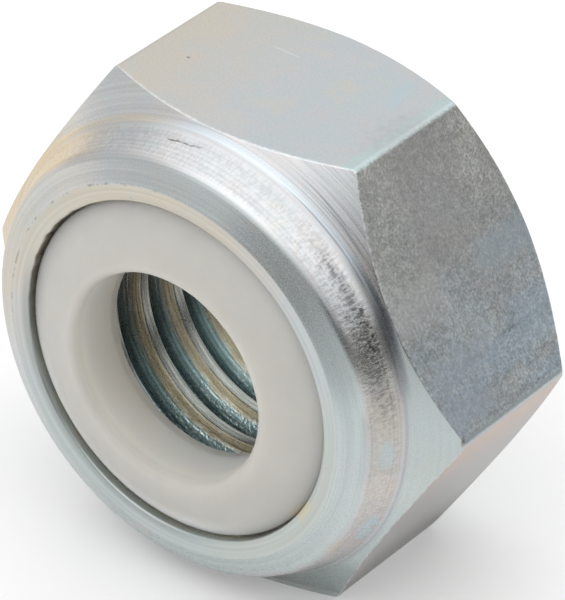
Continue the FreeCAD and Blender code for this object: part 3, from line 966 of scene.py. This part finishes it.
# a finish gives way to the next one halfway through a round
foot_middle = first_rows[FOOT] + section_arcs[FOOT] // 2
flat_from = first_rows[TOP_EDGE] + section_arcs[TOP_EDGE] // 2
flat_to = first_rows[BOTTOM_EDGE] + section_arcs[BOTTOM_EDGE] // 2 + 1
row_finish = np.full(section.shape[1] - 1, ROLLED)
row_finish[: first_rows[SEAT_WALL]] = TAPPED
row_finish[foot_middle:flat_from] = TURNED
row_finish[flat_from:flat_to] = FLAT
row_finish[flat_to : first_rows[OPEN_END]] = TURNED
row_finish[first_rows[OPEN_END] :] = TAPPED
outer_points = lay_down(turn[:, None], section[..., 0], section[..., 1]).reshape(-1, 3)
outer_faces = ring_faces(COLUMNS, section.shape[1])
outer_finish = np.broadcast_to(row_finish, outer_faces.shape[:2]).ravel()
thread_points = lay_down(thread_angle, thread_r, thread_h).reshape(-1, 3)
points = np.concatenate([outer_points, thread_points])
faces = np.concatenate([outer_faces.reshape(-1, 4), thread_faces[:, ::-1] + len(outer_points)])
finishes = np.concatenate([outer_finish, np.full(len(thread_faces), TAPPED)])
steel = new_piece("nut_steel", welded_mesh("nut_steel", points, faces, finishes), STEEL_FINISHES)
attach(steel, "root")
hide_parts("nut_body")

# %% [markdown]
# ## The plastic ring
#
# The ring was punched from sheet and then domed by the rolled collar, so its face falls away from the
# hole to the rim in one soft arc. Its bore edge has a generous round and is not perfectly true.

# %% The ring's section
RING_COLUMNS = 240
RING_BORE = 2.9
RING_TOP = 7.889
RING_UNDERSIDE = 6.172
RING_RADIUS = 5.28
RIM_RADIUS = 4.67
RIM_HEIGHT = 7.28
UNDER_LIP_INNER = 7.08
UNDER_LIP_OUTER = 6.88
BORE_ROUND = 0.25
DOME_SLOPE = math.radians(8)
ring_turn = np.arange(RING_COLUMNS) * 2 * math.pi / RING_COLUMNS


def bore_waver(angle):
    """How far the ring's bore strays from a true circle, in mm: a few slow waves."""
    return 0.012 * np.sin(2 * angle + 0.4) + 0.008 * np.sin(5 * angle + 1.9) + 0.004 * np.sin(11 * angle)


def ring_rows_at(radius, height):
    """Rows of the ring for every column, from radii and heights of which one may be the same for all."""
    return np.stack(np.broadcast_arrays(radius, height[None]), axis=-1)


def ring_section():
    """The ring's closed section for every column. The dome is a circular arc through the rim whose
    slope at the bore is 8 degrees, met there by a quarter-round of 0.25 mm."""
    bore = RING_BORE + bore_waver(ring_turn)[:, None]
    start_radius = bore.mean() + BORE_ROUND * (1 + math.sin(DOME_SLOPE))
    start = np.array([start_radius, RING_TOP - BORE_ROUND * (1 - math.cos(DOME_SLOPE))])
    width, fall = RIM_RADIUS - start[0], start[1] - RIM_HEIGHT
    dome = math.hypot(width, fall) / (2 * math.sin(math.atan(fall / width) - DOME_SLOPE))
    centre = start - dome * np.array([math.sin(DOME_SLOPE), math.cos(DOME_SLOPE)])
    last = math.atan2(RIM_RADIUS - centre[0], RIM_HEIGHT - centre[1])
    lean = np.linspace(DOME_SLOPE, last - 0.02, 26)
    face = centre + dome * np.stack([np.sin(lean), np.cos(lean)], axis=-1)
    bend = np.linspace(-math.pi / 2, DOME_SLOPE, 10)[:-1]
    edge = ring_rows_at(bore + BORE_ROUND * (1 + np.sin(bend)), RING_TOP - BORE_ROUND * (1 - np.cos(bend)))
    wall = ring_rows_at(bore, np.linspace(RING_UNDERSIDE, RING_TOP - BORE_ROUND, 6)[:-1])
    rim_round = face[-1] + np.array([[0.035, -0.03], [0.05, -0.07], [0.055, -0.12]])
    under = [[RIM_RADIUS, UNDER_LIP_INNER], [RING_RADIUS, UNDER_LIP_OUTER], [RING_RADIUS, RING_UNDERSIDE]]
    fixed = np.concatenate([face, rim_round, np.array(under)])
    return np.concatenate([wall, edge, np.broadcast_to(fixed, (RING_COLUMNS, *fixed.shape))], axis=1)


ring_rows = ring_section()
ring_span = ring_rows[..., 0].min().round(3), ring_rows[..., 0].max().round(3)
print(ring_rows.shape[1], "rows in the ring's section, radius", *ring_span)

# %% [markdown]
# ### White plastic
#
# The plastic is a warm off-white with a satin skin. Light goes a little way into it, which subsurface
# scattering gives. Faint mottling, a few dark specks and one beige stain keep it from looking like paint.

# %% Finish of the plastic
white_plastic, tree, shader = new_material("white_plastic")
in_mm = in_millimetres(tree)
cloud = noise(in_mm, 0.8, 4.0)
pores = noise(in_mm, 12.0, 3.0)
grit = use(tree, grain_group, {"Grain per mm": 9.0, "Specks per mm": 0.8, "Speck size": 0.045})
where = use(tree, place_group)
radius, height, cosine, sine = where.values()
base = blend(smooth(cloud, 0.35, 0.65), (0.530, 0.522, 0.490, 1), (0.548, 0.540, 0.508, 1))
# painted light: the rim is painted much lighter on the lower left, where the lip shades it, and a little
# darker or lighter at other angles
rim_light_by_angle = towards(where, -118, 32, 70) * 0.56 + towards(where, 165, 15, 40) * -0.11
rim_light_by_angle = rim_light_by_angle + towards(where, 45, 18, 40) * 0.08 - 0.04
rim_painted_light = smooth(radius, 3.9, 4.6) * rim_light_by_angle
bore_rim = smooth(radius, 3.22, 3.06) * smooth(height, 7.70, 7.80)
bore_rim = bore_rim * smooth(sine, 0.4, -0.4) * -0.07
# painted light: the bore wall takes a much lighter colour than the face, warmer deeper in on the left
warm_depth = smooth(height, 7.5, 6.4) * towards(where, 185, 30, 80)
bore_wall_painted_light = blend(warm_depth, (0.705, 0.702, 0.670, 1), (0.725, 0.685, 0.600, 1))
base = blend(smooth(height, 7.80, 7.48) * smooth(radius, 3.16, 3.0), base, bore_wall_painted_light)
base = scaled(base, rim_painted_light + bore_rim + 1.0)
base = blend(grit["Specks"] * 0.5, base, (0.30, 0.26, 0.20, 1))
STAIN = (0.58, 0.48, 0.34, 1)
base = marked(base, [(STAIN, 0.6, (3.88, -3.36, 4.0), (0.55, 0, 0.83), 0.45, 0.16, 0.3)])
fill(shader["Subsurface Weight"], 1.0)
fill(shader["Subsurface Radius"], (1.0, 0.88, 0.68))
fill(shader["Subsurface Scale"], 0.0012)
dress(shader, base, smooth(pores, 0.3, 0.7, 0.40, 0.52), pores, depth=4.0)

# %% Build the ring
closed = np.concatenate([ring_rows, ring_rows[:, :1]], axis=1)
ring_points = lay_down(ring_turn[:, None], closed[..., 0], closed[..., 1]).reshape(-1, 3)
ring_quads = ring_faces(RING_COLUMNS, closed.shape[1]).reshape(-1, 4)
ring_mesh = welded_mesh("plastic_ring", ring_points, ring_quads, np.zeros(len(ring_quads)))
plastic = new_piece("plastic_ring", ring_mesh, [white_plastic])
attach(plastic, "root")
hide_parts("sealing_ring")

# %% [markdown]
# ## Floor, sky and cards
#
# A polished metal shows its surroundings, so they are kept simple. The floor is white. The sky is a large
# diffuser that brightens towards the top, with a softer light in front. Grey cards stand low on the right
# and in front, out of the picture: the flats and the collar show them as their darker side. Two pale
# cards lie just over the floor, and only mirrors show them. So does a small white sheet under the nut,
# which glows less than the floor: it is painted shade, so that mirrors show the floor darker round the
# nut's shadow.

# %% Floor
FLOOR_SIZE, FLOOR_Z = 3, -2e-5
floor_corners = [(FLOOR_SIZE * x, FLOOR_SIZE * y, FLOOR_Z) for x, y in ((-1, -1), (1, -1), (1, 1), (-1, 1))]
floor_mesh = bpy.data.meshes.new("floor")
floor_mesh.from_pydata(floor_corners, [], [(0, 1, 2, 3)])
floor = new_object("floor", floor_mesh)
paper, tree, shader = new_material("floor_paper")
fill(shader["Roughness"], 0.9)
fill(shader["Specular IOR Level"], 0.1)
fill(shader["Base Color"], (0.81, 0.81, 0.81, 1))
rays = all_outputs(add(tree, "ShaderNodeLightPath"))
rays_seen = {0: rays["Is Camera Ray"] + rays["Is Glossy Ray"], 1: rays["Is Transmission Ray"]}
seen = add(tree, "ShaderNodeMath", rays_seen, operation="ADD", use_clamp=True)
fill(shader["Emission Strength"], seen * 0.15)
fill(shader["Emission Color"], WHITE)
floor_mesh.materials.append(paper)
print("floor at", round(floor_mesh.vertices[0].co.z * 1000, 3), "mm")


# %% Cards
def stand_card(name, start, end, greys, path, glow=0.0):
    """A curved card round the nut. Its section is a path of distances and heights in metres, and it is
    swept from one compass angle to another, counted from +Y towards +X. It has one grey near the nut and
    another further out."""
    sweep = np.radians(np.linspace(start, end, 24))
    distance, height = np.array(path).T
    flat_spots = np.stack([np.sin(sweep), np.cos(sweep)], axis=-1)
    points = np.concatenate([
        flat_spots[:, None] * distance[None, :, None],
        np.broadcast_to(height[None, :, None], (len(sweep), len(path), 1)),
    ], axis=-1)
    rows = len(path)
    index = np.arange(len(sweep) * rows).reshape(len(sweep), rows)
    quads = grid_faces(index[:-1], index[1:])
    mesh = bpy.data.meshes.new(name)
    mesh.from_pydata(points.reshape(-1, 3), [], quads.reshape(-1, 4))
    material, tree, shader = new_material(name)
    near_grey, far_grey = greys
    grey = (near_grey, near_grey, near_grey, 1)
    if near_grey != far_grey:
        spot = add(tree, "ShaderNodeTexCoord", output="Object")
        away = vector_calc("LENGTH", spot, output="Value")
        grey = smooth(away, 0.010, 0.045, near_grey, far_grey)
    fill(shader["Base Color"], grey)
    fill(shader["Roughness"], 0.9)
    fill(shader["Emission Color"], WHITE)
    fill(shader["Emission Strength"], glow)
    mesh.materials.append(material)
    card = new_object(name, mesh)
    card.visible_camera = False
    card.visible_diffuse = False
    card.visible_shadow = False
    print(name, "spans", end - start, "degrees")


WALL = [(0.28, 0.0), (0.28, 0.115)]
stand_card("card_right", 30, 72, (0.13, 0.13), WALL)
stand_card("card_side", 72, 126, (0.09, 0.09), WALL)
stand_card("card_gap", 126, 153, (0.02, 0.02), WALL)
stand_card("card_front", 153, 194, (0.45, 0.45), WALL)
stand_card("card_foot", 140, 205, (0.80, 0.55), [(0.026, 0.0005), (0.27, 0.0005)])
stand_card("card_foot_side", 55, 140, (0.80, 0.56), [(0.011, 0.0005), (0.27, 0.0005)])
# painted shade: a sheet under the nut that glows less than the floor, so mirrors see it darker there
stand_card("card_under", 0, 360, (0.80, 0.80), [(0.0, 0.0003), (0.06, 0.0003)], glow=0.10)

# %% Sky
world = bpy.data.worlds.new("studio_sky")
bpy.context.scene.world = world
world.use_nodes = True
tree = world.node_tree
background = tree.nodes["Background"].inputs
view_ray = add(tree, "ShaderNodeTexCoord", output="Generated")
rise = split(view_ray)[2]
soft_light = Vector((-0.183, -0.683, 0.707))
nearness = vector_calc("DOT_PRODUCT", view_ray, soft_light, output="Value")
glow = smooth(nearness, math.cos(math.radians(34)), math.cos(math.radians(12)), 0.0, 0.5)
fill(background["Strength"], smooth(rise, 0.40, 0.85, 0.76, 1.36) + glow)
fill(background["Color"], WHITE)
print("sky")

# %% [markdown]
# ### The camera
#
# The camera stands to the right, in front of the ring and above it, and is turned a little. The lens is
# long, as for a small object: 315.6 mm on a 36 mm sensor.

# %% Camera
AZIMUTH, ELEVATION, ROLL = math.radians(36.93), math.radians(34.18), math.radians(1.916)
level_right = Vector((math.cos(AZIMUTH), math.sin(AZIMUTH), 0))
forward, sideways = -math.cos(AZIMUTH) * math.cos(ELEVATION), math.sin(AZIMUTH) * math.cos(ELEVATION)
back = Vector((sideways, forward, math.sin(ELEVATION)))
level_up = back.cross(level_right)
right = level_right * math.cos(ROLL) + level_up * math.sin(ROLL)
up = back.cross(right)
camera_data = bpy.data.cameras.new("camera")
camera_data.lens = 315.594
camera_data.sensor_width = 36.0
camera_data.clip_start = 0.01
camera_data.clip_end = 20.0
camera = new_object("camera", camera_data)
place = Matrix((right, up, back)).transposed().to_4x4()
place.translation = (0.0667510, -0.0878887, 0.0818392)
camera.matrix_world = place
bpy.context.scene.camera = camera
bpy.context.scene.view_settings.view_transform = "Standard"
print("camera at", [round(v * 1000, 2) for v in place.translation], "mm")
